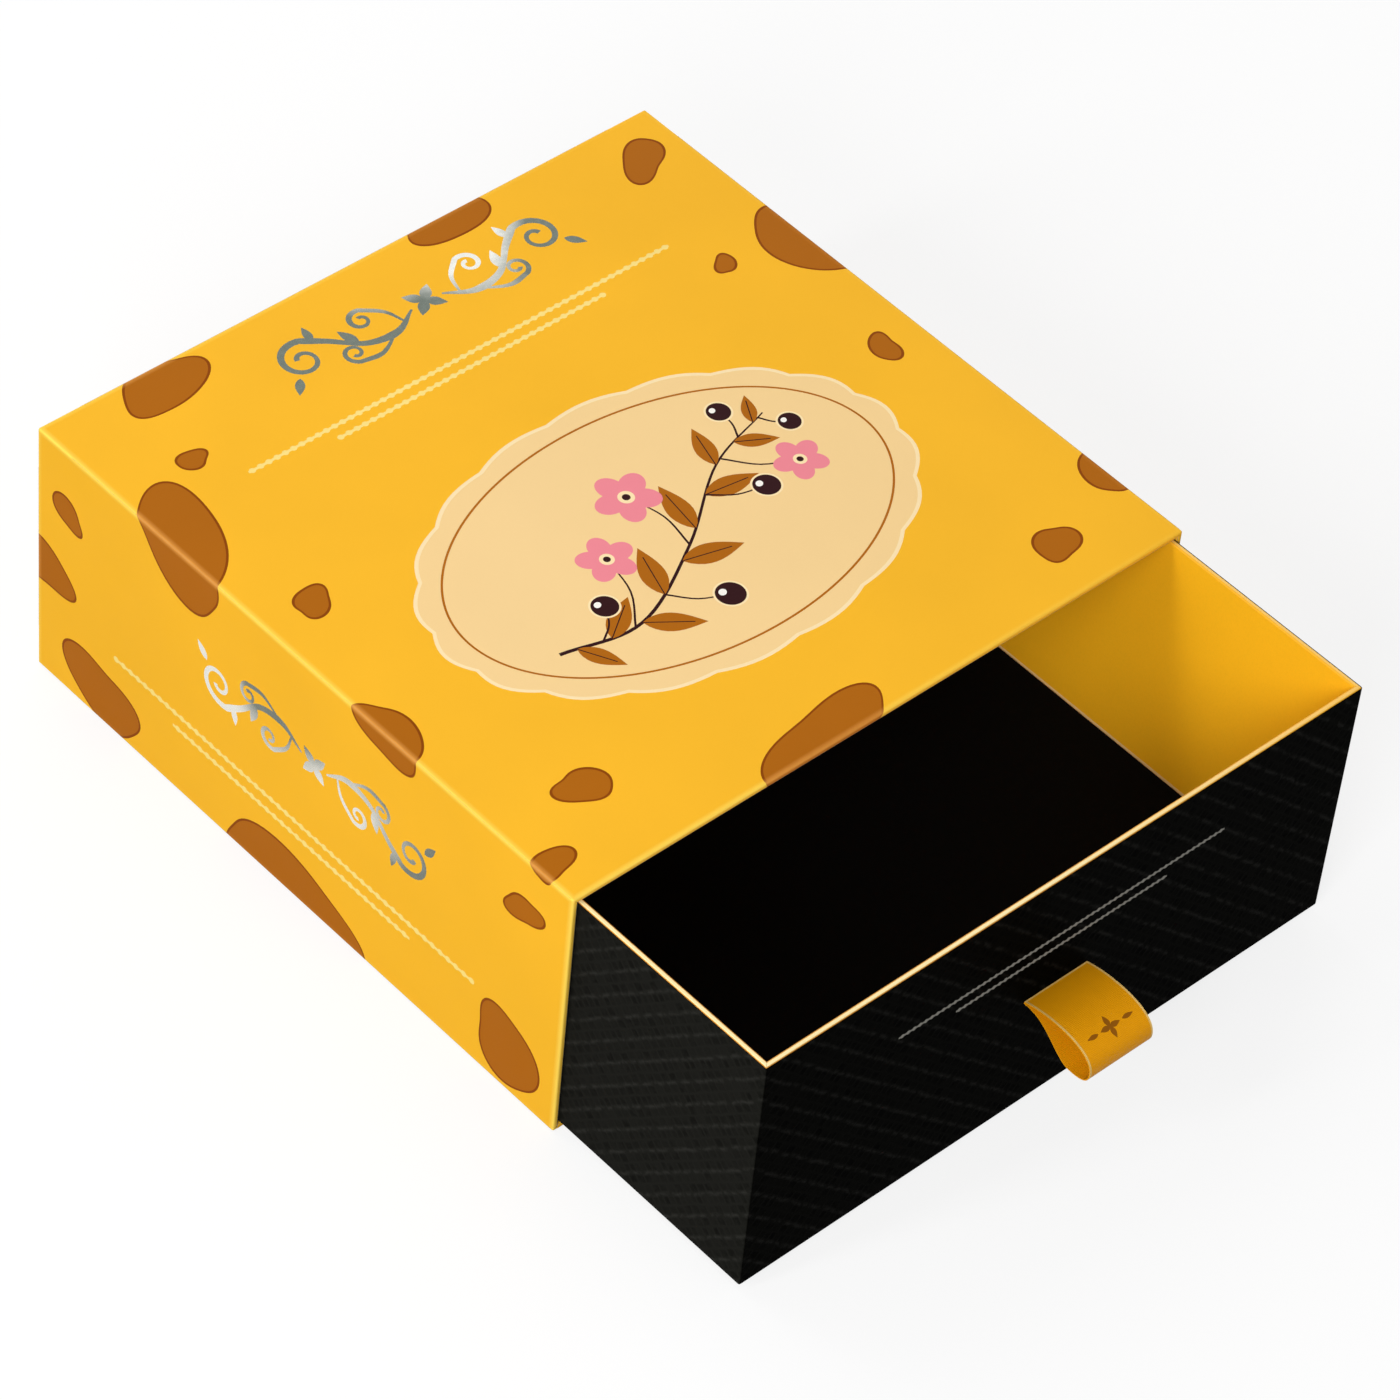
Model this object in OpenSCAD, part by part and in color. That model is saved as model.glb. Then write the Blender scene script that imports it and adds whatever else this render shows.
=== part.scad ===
// Sliding drawer gift box in rigid paperboard: a printed sleeve that is closed at
// the back, and a lined drawer that is drawn out of it by a ribbon loop.
// Every sheet, board and tape is a solid of its own, at its real thickness.
// The origin is the middle of the sleeve's underside. +Z is up, +Y points to the
// closed back, and the drawer slides out towards -Y.

/* [Sleeve] */
// Outer width of the sleeve
sleeve_w = 200; // [120:1:320]
// Outer depth of the sleeve, from its mouth to its back
sleeve_d = 200; // [120:1:320]
// Outer height of the sleeve
sleeve_h = 82; // [50:0.5:160]
// Thickness of the greyboard in the sleeve
sleeve_board_t = 1.2; // [0.8:0.1:3]
// Thickness of the printed paper and of the sheets on the base and the back
sleeve_paper_t = 0.15; // [0.1:0.01:0.3]
// Thickness of the paper that lines the inside
sleeve_lining_t = 0.1; // [0.08:0.01:0.3]
// Depth of the paper that is turned in round the mouth
mouth_turn_in = 15; // [8:1:30]
// How far behind the mouth the lining starts
lining_set_back = 3; // [1:0.5:6]
// Width of the printed paper that folds over onto the base and the back
sleeve_flap_w = 18; // [14:1:22]
// How far the sheets on the base and the back stop short of the edges
sheet_margin = 2.5; // [1:0.5:6]
// Width of the back sheet's fold under the base
back_sheet_fold = 12; // [6:1:20]

/* [Drawer] */
// How far the drawer stands out of the sleeve
drawer_out = 64; // [0:1:100]
// Gap between the drawer and the sleeve on each side
side_gap = 0.3; // [0.15:0.05:1]
// Gap between the drawer's rim and the top of the sleeve
top_gap = 0.4; // [0.15:0.05:1.5]
// Running gap under the drawer
bottom_gap = 0.15; // [0.1:0.05:0.5]
// Gap behind the drawer when it is pushed home
back_gap = 0.3; // [0.15:0.05:2]
// Thickness of the greyboard in the drawer
drawer_board_t = 1.2; // [0.8:0.1:3]
// Thickness of the black paper outside the drawer
drawer_paper_t = 0.2; // [0.1:0.01:0.3]
// Thickness of the yellow paper that lines the drawer
drawer_lining_t = 0.15; // [0.08:0.01:0.3]
// How far the lining turns down outside the rim, under the black paper
lining_turn_down = 12; // [6:1:20]
// How far below the rim the black paper ends
rim_reveal = 0.3; // [0.1:0.1:2]
// Width of the lining's fold on the drawer's floor
lining_fold_w = 10; // [5:1:25]
// Width of the black paper that folds under the drawer
drawer_flap_w = 15; // [8:1:30]
// Thickness of the black card on the drawer's floor
floor_card_t = 0.5; // [0.3:0.1:2]
// Gap all round the floor card
floor_card_gap = 0.4; // [0.2:0.1:2]

/* [Board joints] */
// Thickness of the stay tape over the board joints
tape_t = 0.1; // [0.08:0.01:0.15]
// Width of the stay tape on each side of a joint
tape_leg = 12; // [6:1:13]
// How far the stay tapes stop short of an edge or of each other
tape_set_back = 1; // [0.5:0.5:3]
// Glue line between two boards
glue_line = 0.05; // [0.02:0.01:0.1]

/* [Ribbon pull] */
// Width of the ribbon
ribbon_w = 21; // [12:0.5:40]
// Thickness of the ribbon
ribbon_t = 0.35; // [0.2:0.05:0.45]
// Space between the two layers of ribbon in the slit
layer_gap = 0.04; // [0.02:0.01:0.1]
// How far the loop reaches out of the drawer's front
loop_reach = 23; // [18:0.5:40]
// How far the loop arches above the slit
loop_rise = 1.7; // [1:0.1:3]
// How far the loop droops below the slit
loop_drop = 9; // [7:0.5:14]
// Length of each tail that is glued behind the drawer's front
tail_len = 16; // [8:1:18]
// Play of the slit round the ribbon
slit_play = 0.15; // [0.05:0.05:0.5]
// Depth of the pressed seat behind the tails, beyond their own thickness
tail_seat_play = 0.05; // [0.02:0.01:0.1]
// Width of the anchor tape beside the ribbon and beyond its tails
anchor_tape_margin = 6; // [3:1:10]

/* [Hidden] */

// Colours
print_yellow = "#f5b42d";
liner_yellow = "#e8a81e";
deep_black = "#141414";
floor_black = "#080808";
greyboard = "#9b968c";
kraft = "#b98d5c";
ribbon_yellow = "#cf8f0e";

// Overlap of a cutting block past the face that it cuts
cut = 1;

// Layers of the sleeve's walls, as depths below the outer face
film_face = sleeve_paper_t;
board_face = film_face + tape_t;
board_back = board_face + sleeve_board_t;
turn_in_face = board_back + sleeve_paper_t;
lining_face = turn_in_face + sleeve_lining_t;

// The sleeve's shell, without the sheets on its base and its back
shell_x = sleeve_w / 2;
shell_z = sleeve_paper_t;
mouth_y = -sleeve_d / 2;
shell_back_y = sleeve_d / 2 - sleeve_paper_t;

// The boards of the sleeve, from the turned paper at the mouth to the back board
panels_front_y = mouth_y + sleeve_paper_t;
back_board_back_y = shell_back_y - board_face;
back_board_front_y = back_board_back_y - sleeve_board_t;
panels_back_y = back_board_front_y - glue_line;
mitre_relief = glue_line / sqrt(2);
panel_w = sleeve_w - 2 * board_face - 2 * mitre_relief;
panel_h = sleeve_h - shell_z - 2 * board_face - 2 * mitre_relief;
panel_mid_z = (shell_z + sleeve_h) / 2;
back_lining_front_y = back_board_front_y - sleeve_lining_t;

// Layers of the drawer's walls, as depths below the outer face
under_t = max(tape_t, drawer_lining_t);
wall_face = drawer_paper_t + under_t;
wall_back = wall_face + drawer_board_t;
room_face = wall_back + drawer_lining_t;

// The drawer's outer box
drawer_x = shell_x - lining_face - side_gap;
drawer_lo_z = shell_z + lining_face + bottom_gap;
drawer_hi_z = sleeve_h - lining_face - top_gap;
drawer_d = back_lining_front_y - back_gap - mouth_y;
drawer_front_y = mouth_y - drawer_out;
drawer_back_y = drawer_front_y + drawer_d;

// Heights in the drawer
fold_z = drawer_lo_z + drawer_paper_t;
base_z = fold_z + wall_face;
base_top_z = base_z + drawer_board_t;
card_z = base_top_z + drawer_lining_t;
card_top_z = card_z + floor_card_t;
wall_top_z = drawer_hi_z - drawer_lining_t;
wrap_top_z = drawer_hi_z - rim_reveal;
stay_top_z = drawer_hi_z - lining_turn_down - tape_set_back;

// The slit at the middle of the drawer's front, and the ribbon's way through it
slit_z = (drawer_lo_z + drawer_hi_z) / 2;
layer_z = (ribbon_t + layer_gap) / 2;
slit_half_h = layer_z + ribbon_t / 2 + slit_play;
slit_half_w = ribbon_w / 2 + slit_play;
tail_depth = wall_back - tape_t - ribbon_t / 2;
tail_seat_depth = wall_back - tape_t - ribbon_t - tail_seat_play;
tail_end = layer_z + tail_len;
bend_r = ribbon_t * 1.15;

// ---------------------------------------------------------------- helpers

// A block between its lowest and its highest corner
module block(lo, hi) {
  translate(lo) cube(hi - lo);
}

// The sleeve's cross-section, drawn in on all four sides, from one depth to another
module sleeve_core(inset, from_y, to_y) {
  block([-shell_x + inset, from_y, shell_z + inset],
        [shell_x - inset, to_y, sleeve_h - inset]);
}

// The drawer's plan, drawn in on all four sides, from one height to another
module drawer_core(inset, from_z, to_z) {
  block([-drawer_x + inset, drawer_front_y + inset, from_z],
        [drawer_x - inset, drawer_back_y - inset, to_z]);
}

// One long panel of the sleeve, with mitred edges: at turn 0 its outer face is up
module sleeve_panel(face_x, face_z, turn, width) {
  half = width / 2;
  translate([face_x, panels_back_y, face_z]) rotate([0, turn, 0]) rotate([90, 0, 0])
    linear_extrude(panels_back_y - panels_front_y)
      polygon([[-half, 0], [half, 0],
               [half - sleeve_board_t, -sleeve_board_t],
               [sleeve_board_t - half, -sleeve_board_t]]);
}

// The slit through the drawer's front, from its face to the tails' seat
module ribbon_slit() {
  block([-slit_half_w, drawer_front_y - cut, slit_z - slit_half_h],
        [slit_half_w, drawer_front_y + wall_back + cut, slit_z + slit_half_h]);
}

// A point on the cubic curve through four control points
function bezier(p, t) =
  pow(1 - t, 3) * p[0] + 3 * pow(1 - t, 2) * t * p[1]
  + 3 * (1 - t) * t * t * p[2] + t * t * t * p[3];

// The curve as a row of points, without its first
function curve(p, steps) = [for (i = [1:steps]) bezier(p, i / steps)];

// Points on an arc
function arc(centre, r, from, to, steps) =
  [for (i = [0:steps]) let (a = from + (to - from) * i / steps) centre + r * [cos(a), sin(a)]];

// The unit normal, to the left, of a step along a row of points
function step_normal(p, i) =
  let (d = p[i + 1] - p[i]) [-d.y, d.x] / norm(d);

// A row of points moved sideways, mitred at its corners
function beside(p, distance) = [
  for (i = [0:len(p) - 1])
    let (a = step_normal(p, max(i - 1, 0)), b = step_normal(p, min(i, len(p) - 2)))
      p[i] + distance * (a + b) / (1 + a * b)
];

// ---------------------------------------------------------------- sleeve boards

module sleeve_top_board() {
  color(greyboard) sleeve_panel(0, sleeve_h - board_face, 0, panel_w);
}

module sleeve_bottom_board() {
  color(greyboard) sleeve_panel(0, shell_z + board_face, 180, panel_w);
}

module sleeve_left_board() {
  color(greyboard) sleeve_panel(-shell_x + board_face, panel_mid_z, -90, panel_h);
}

module sleeve_right_board() {
  color(greyboard) sleeve_panel(shell_x - board_face, panel_mid_z, 90, panel_h);
}

// The back board closes the tube of the four panels
module sleeve_back_board() {
  color(greyboard) sleeve_core(board_face, back_board_front_y, back_board_back_y);
}

// ---------------------------------------------------------------- sleeve tapes

// Stay tapes folded over the four long edges
module sleeve_edge_tapes() {
  from_y = panels_front_y + tape_set_back;
  to_y = back_board_back_y - tape_leg - tape_set_back;
  side_x = shell_x - board_face - tape_leg;
  low_z = shell_z + board_face + tape_leg;
  high_z = sleeve_h - board_face - tape_leg;
  color(kraft) difference() {
    sleeve_core(film_face, from_y, to_y);
    sleeve_core(board_face, from_y - cut, to_y + cut);
    block([-side_x, from_y - cut, 0], [side_x, to_y + cut, sleeve_h]);
    block([-shell_x, from_y - cut, low_z], [shell_x, to_y + cut, high_z]);
  }
}

// Stay tapes folded over the four edges of the back board
module sleeve_back_tapes() {
  from_y = back_board_back_y - tape_leg;
  to_y = back_board_back_y + tape_t;
  corner = board_face + tape_leg;
  end_gap = corner + tape_set_back;
  color(kraft) difference() {
    sleeve_core(film_face, from_y, to_y);
    sleeve_core(board_face, from_y - cut, back_board_back_y);
    sleeve_core(corner, from_y - cut, to_y + cut);
    for (x = [-shell_x, shell_x - end_gap], z = [shell_z, sleeve_h - end_gap])
      block([x, from_y - cut, z], [x + end_gap, to_y + cut, z + end_gap]);
  }
}

// ---------------------------------------------------------------- sleeve papers

// Printed paper over the top and sides, turned in round the mouth and folded
// over onto the base and the back
module sleeve_wrap() {
  color(print_yellow) difference() {
    union() {
      difference() {
        sleeve_core(0, mouth_y, shell_back_y);
        sleeve_core(film_face, panels_front_y, shell_back_y - sleeve_paper_t);
      }
      difference() {
        sleeve_core(board_back, mouth_y, mouth_y + mouth_turn_in);
        sleeve_core(turn_in_face, mouth_y - cut, mouth_y + mouth_turn_in + cut);
      }
    }
    sleeve_core(turn_in_face, mouth_y - cut, mouth_y + cut);
    // between the flaps under the base, and between those on the back
    block([-shell_x + sleeve_flap_w, mouth_y - cut, shell_z - cut],
          [shell_x - sleeve_flap_w, shell_back_y + cut, shell_z + sleeve_paper_t]);
    block([-shell_x + sleeve_flap_w, shell_back_y - cut, shell_z - cut],
          [shell_x - sleeve_flap_w, shell_back_y + cut, sleeve_h - sleeve_flap_w]);
    base_sheet_form();
  }
}

// The base sheet's form: flat under the base, over the lower edge of the mouth
// and turned in
module base_sheet_form() {
  side_x = shell_x - sheet_margin;
  turn_x = shell_x - turn_in_face;
  block([-side_x, mouth_y, 0], [side_x, shell_back_y, sleeve_paper_t]);
  block([-turn_x, mouth_y, 0], [turn_x, panels_front_y, shell_z + turn_in_face]);
  block([-turn_x, mouth_y, shell_z + board_back],
        [turn_x, mouth_y + mouth_turn_in, shell_z + turn_in_face]);
}

// Paper on the base, which the box stands on
module sleeve_base_sheet() {
  color(print_yellow) base_sheet_form();
}

// Paper on the back, with its lower edge folded under the base
module sleeve_back_sheet() {
  side_x = shell_x - sheet_margin;
  fold_x = shell_x - sleeve_flap_w - tape_set_back;
  color(print_yellow) {
    block([-side_x, shell_back_y, shell_z],
          [side_x, sleeve_d / 2, sleeve_h - sheet_margin]);
    block([-fold_x, sleeve_d / 2 - back_sheet_fold, shell_z],
          [fold_x, sleeve_d / 2, shell_z + sleeve_paper_t]);
  }
}

// Paper on the four inner walls, over the turned-in edge
module sleeve_lining() {
  from_y = mouth_y + lining_set_back;
  color(liner_yellow) difference() {
    sleeve_core(turn_in_face, from_y, back_lining_front_y);
    sleeve_core(lining_face, from_y - cut, back_lining_front_y + cut);
  }
}

// Paper on the inside of the back board
module sleeve_back_lining() {
  color(liner_yellow) sleeve_core(board_back, back_lining_front_y, back_board_front_y);
}

// ---------------------------------------------------------------- drawer boards

// The base board lies between the four walls
module drawer_base_board() {
  color(greyboard) drawer_core(wall_back + glue_line, base_z, base_top_z);
}

// The front board has the slit, and a pressed seat for the tails and their tape
module drawer_front_board() {
  back_y = drawer_front_y + wall_back;
  tape_x = ribbon_w / 2 + anchor_tape_margin + slit_play;
  tape_z = tail_end + anchor_tape_margin + slit_play;
  tail_z = tail_end + slit_play;
  color(greyboard) difference() {
    block([-drawer_x + wall_face, drawer_front_y + wall_face, base_z],
          [drawer_x - wall_face, back_y, wall_top_z]);
    ribbon_slit();
    block([-slit_half_w, drawer_front_y + tail_seat_depth, slit_z - tail_z],
          [slit_half_w, back_y + cut, slit_z + tail_z]);
    block([-tape_x, back_y - tape_t, slit_z - tape_z],
          [tape_x, back_y + cut, slit_z + tape_z]);
  }
}

module drawer_back_board() {
  color(greyboard)
    block([-drawer_x + wall_face, drawer_back_y - wall_back, base_z],
          [drawer_x - wall_face, drawer_back_y - wall_face, wall_top_z]);
}

// A side board stands between the front and the back board
module drawer_side_board(outer_x, inner_x) {
  color(greyboard)
    block([min(outer_x, inner_x), drawer_front_y + wall_back + glue_line, base_z],
          [max(outer_x, inner_x), drawer_back_y - wall_back - glue_line, wall_top_z]);
}

module drawer_left_board() {
  drawer_side_board(-drawer_x + wall_face, -drawer_x + wall_back);
}

module drawer_right_board() {
  drawer_side_board(drawer_x - wall_face, drawer_x - wall_back);
}

// Stay tapes folded over the four upright corners, below the turned-down lining
module drawer_corner_stays() {
  leg_x = drawer_x - wall_face - tape_leg;
  leg_y = wall_face + tape_leg;
  color(kraft) difference() {
    drawer_core(wall_face - tape_t, base_z, stay_top_z);
    drawer_core(wall_face, base_z - cut, stay_top_z + cut);
    block([-leg_x, drawer_front_y, base_z - cut], [leg_x, drawer_back_y, stay_top_z + cut]);
    block([-drawer_x, drawer_front_y + leg_y, base_z - cut],
          [drawer_x, drawer_back_y - leg_y, stay_top_z + cut]);
  }
}

// ---------------------------------------------------------------- drawer papers

// Black paper on the four outer walls, folded under the base
module drawer_wrap() {
  color(deep_black) difference() {
    drawer_core(0, fold_z, wrap_top_z);
    drawer_core(drawer_paper_t, fold_z + drawer_paper_t, wrap_top_z + cut);
    drawer_core(drawer_flap_w, fold_z - cut, base_z);
    ribbon_slit();
  }
}

// Black sheet under the drawer, over the folded edges
module drawer_bottom_sheet() {
  color(deep_black) drawer_core(sheet_margin, drawer_lo_z, fold_z);
}

// Yellow paper on the inner walls, over the rim and down outside, with a fold on
// the floor
module drawer_lining() {
  color(liner_yellow) difference() {
    union() {
      drawer_core(wall_face - drawer_lining_t, drawer_hi_z - lining_turn_down, drawer_hi_z);
      drawer_core(wall_back, base_top_z, drawer_hi_z);
    }
    // the boards
    difference() {
      drawer_core(wall_face, base_z, wall_top_z);
      drawer_core(wall_back, base_z - cut, wall_top_z + cut);
    }
    // the room inside, and the floor inside the fold
    drawer_core(room_face, card_z, drawer_hi_z + cut);
    drawer_core(wall_back + lining_fold_w, base_top_z - cut, drawer_hi_z + cut);
  }
}

// Black card that lies on the floor, over the fold of the lining
module drawer_floor_card() {
  color(floor_black) drawer_core(room_face + floor_card_gap, card_z, card_top_z);
}

// ---------------------------------------------------------------- ribbon pull

// The ribbon's middle line, seen from the side, as [distance out, height]: up the
// upper tail's length, out of the slit, round the drooping loop and back again
upper_run = [[0, layer_z], [loop_reach * 0.35, layer_z + loop_rise * 1.6],
             [loop_reach * 1.01, layer_z + loop_rise * 1.5], [loop_reach, -loop_drop * 0.6]];
nose_run = [[loop_reach, -loop_drop * 0.6], [loop_reach * 0.995, -loop_drop * 0.94],
            [loop_reach * 0.89, -loop_drop * 1.03], [loop_reach * 0.72, -loop_drop]];
lower_run = [[loop_reach * 0.72, -loop_drop], [loop_reach * 0.5, -loop_drop * 0.96],
             [loop_reach * 0.35, loop_drop * 0.07], [0, -layer_z]];
bend_centre_out = -tail_depth + bend_r;
ribbon_line = concat(
  [[-tail_depth, tail_end]],
  arc([bend_centre_out, layer_z + bend_r], bend_r, 180, 270, 4),
  [[0, layer_z]],
  curve(upper_run, 16),
  curve(nose_run, 8),
  curve(lower_run, 12),
  arc([bend_centre_out, -layer_z - bend_r], bend_r, 90, 180, 4),
  [[-tail_depth, -tail_end]]
);

// Ribbon loop through the slit, with its two tails spread up and down behind it
module ribbon_pull() {
  left = beside(ribbon_line, ribbon_t / 2);
  right = beside(ribbon_line, -ribbon_t / 2);
  outline = concat(left, [for (i = [len(right) - 1:-1:0]) right[i]]);
  color(ribbon_yellow)
    translate([-ribbon_w / 2, drawer_front_y, slit_z]) rotate([90, 0, 90])
      linear_extrude(ribbon_w) polygon([for (p = outline) [-p.x, p.y]]);
}

// Tape over the tails, between the front board and the lining
module ribbon_anchor_tape() {
  half_w = ribbon_w / 2 + anchor_tape_margin;
  half_h = tail_end + anchor_tape_margin;
  back_y = drawer_front_y + wall_back;
  color(kraft)
    block([-half_w, back_y - tape_t, slit_z - half_h], [half_w, back_y, slit_z + half_h]);
}

sleeve_top_board();
sleeve_bottom_board();
sleeve_left_board();
sleeve_right_board();
sleeve_back_board();
sleeve_edge_tapes();
sleeve_back_tapes();
sleeve_wrap();
sleeve_base_sheet();
sleeve_back_sheet();
sleeve_lining();
sleeve_back_lining();
drawer_base_board();
drawer_front_board();
drawer_back_board();
drawer_left_board();
drawer_right_board();
drawer_corner_stays();
drawer_wrap();
drawer_bottom_sheet();
drawer_lining();
drawer_floor_card();
ribbon_pull();
ribbon_anchor_tape();
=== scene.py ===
"""A sliding drawer gift box in paper-covered board, with its drawer a third of the way out.

Each paper is made as the real one is: cut to an outline in the flat, printed, and folded round
the boards. The flat sheets and the sizes below are in millimetres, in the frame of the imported
model, and a sheet turns into metres when it is folded.
"""

import math

import bpy
import numpy as np
from mathutils import Euler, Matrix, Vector
from mathutils.geometry import delaunay_2d_cdt


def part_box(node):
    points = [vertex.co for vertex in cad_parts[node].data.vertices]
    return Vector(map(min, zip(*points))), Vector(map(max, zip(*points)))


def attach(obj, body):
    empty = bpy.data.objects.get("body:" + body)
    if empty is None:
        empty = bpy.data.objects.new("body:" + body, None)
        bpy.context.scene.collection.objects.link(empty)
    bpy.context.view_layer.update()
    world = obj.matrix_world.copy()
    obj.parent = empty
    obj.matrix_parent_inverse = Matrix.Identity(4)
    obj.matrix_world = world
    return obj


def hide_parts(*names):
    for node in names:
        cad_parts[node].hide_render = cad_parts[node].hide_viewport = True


MM = 0.001
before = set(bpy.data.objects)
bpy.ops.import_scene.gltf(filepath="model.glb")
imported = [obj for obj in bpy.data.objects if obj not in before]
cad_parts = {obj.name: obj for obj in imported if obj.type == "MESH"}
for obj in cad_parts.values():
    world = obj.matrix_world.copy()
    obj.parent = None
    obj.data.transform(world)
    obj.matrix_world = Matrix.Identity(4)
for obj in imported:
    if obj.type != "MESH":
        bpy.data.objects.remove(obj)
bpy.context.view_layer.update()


def corners_of(node):
    """The lowest and highest corner of a CAD node, in millimetres."""
    return [np.array(corner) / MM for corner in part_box(node)]


# ---- sizes

SLEEVE_LO, SLEEVE_HI = corners_of("sleeve_wrap")
BASE_LO, BASE_HI = corners_of("sleeve_base_sheet")
BACK_LO, BACK_HI = corners_of("sleeve_back_sheet")
DRAWER_LO, DRAWER_HI = corners_of("drawer_wrap")
LINING_LO, LINING_HI = corners_of("drawer_lining")
RIBBON_HI = corners_of("ribbon_pull")[1]

PRINTED_T = 0.15
BLACK_T = 0.2
LINING_T = 0.15
RIBBON_T = 0.35

FOLD_R = 0.6  # how round the papers lie over an outer edge of a board
RIM_R = 0.5
FLOOR_FOLD_R = 0.3
FOLD_STEPS = 4
WEAR_AND_HIGHLIGHT_REACH = 1.7  # how far from a fold's middle its ink is rubbed paler and carries a painted highlight
CUT_GAP = 0.04  # half the gap between two mitred edges

SLEEVE_WALL_T = 1.6  # from the outer face to the face of the turned-in paper
MOUTH_TURN_IN = 15
SLEEVE_FLAP = 18
BASE_INSET = 0.9  # how much narrower the base sheet is than its turn-in, on each side
BACK_SHEET_FOLD = 12
DRAWER_FLAP = 15
DRAWER_SEAM = 17  # the black paper's seam is on the back, this far from the corner
DRAWER_WALL_T = 1.7
LINING_TURN_DOWN = 12
LINING_FLOOR_FOLD = 9.85
FOOT_LINE = 0.6  # how far above the floor card the lining's fold carries a painted highlight

# ---- colours


def srgb(red, green, blue):
    """A colour given as 0 to 255 on the screen, as Blender's linear numbers."""

    def linear(value):
        value /= 255
        return value / 12.92 if value <= 0.04045 else ((value + 0.055) / 1.055) ** 2.4

    return (linear(red), linear(green), linear(blue), 1.0)


BLACK = srgb(0, 0, 0)
WHITE = srgb(255, 255, 255)
YELLOW = srgb(250, 186, 42)
# paler yellow at a fold: partly stretched ink, partly a painted highlight
WORN_AND_HIGHLIT_YELLOW = srgb(254, 220, 94)
SPOT_BROWN = srgb(174, 100, 12)
SPOT_EDGE = srgb(138, 66, 0)
# paler brown where a fold crosses a spot: partly stretched ink, partly a painted highlight
WORN_AND_HIGHLIT_BROWN = srgb(228, 158, 74)
CREAM = srgb(246, 210, 148)
CREAM_EDGE = srgb(252, 226, 176)
DARK_BROWN = srgb(46, 14, 18)
BLOSSOM_PINK = srgb(240, 138, 150)
WHITE_INK = srgb(250, 246, 238)
RULE_YELLOW = srgb(252, 224, 132)
PAPER_WHITE = srgb(232, 228, 218)
LINING_YELLOW = srgb(255, 188, 24)
# painted highlight along the middle of the drawer's rim, and painted shade on its rounded edges
RIM_HIGHLIGHT_CREAM = srgb(255, 234, 174)
RIM_SHADE_BROWN = srgb(214, 146, 48)
# a painted highlight along the lining's fold at the foot of its walls
FOOT_HIGHLIGHT_CREAM = srgb(255, 212, 142)
# the same black paper in two tones: deeper on the drawer's front as painted shade, paler on its sides as
# painted light
SHADED_BLACK_FRONT = srgb(3, 3, 2)
LIT_BLACK_SIDE = srgb(28, 28, 25)
BLACK_CARD = srgb(7, 7, 7)
PRINT_GREY = srgb(146, 144, 136)
# the foil's colour runs between this silver and the grey below in patches, as a painted reflection
FOIL_REFLECTION_SILVER = srgb(228, 228, 220)
FOIL_GREY = srgb(112, 120, 112)
RIBBON_GOLD = srgb(250, 168, 6)
RIBBON_EDGE = srgb(255, 210, 120)
PRINT_BROWN = srgb(150, 90, 10)
GREYBOARD = srgb(156, 150, 140)
KRAFT = srgb(186, 142, 92)


# ---- materials


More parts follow.
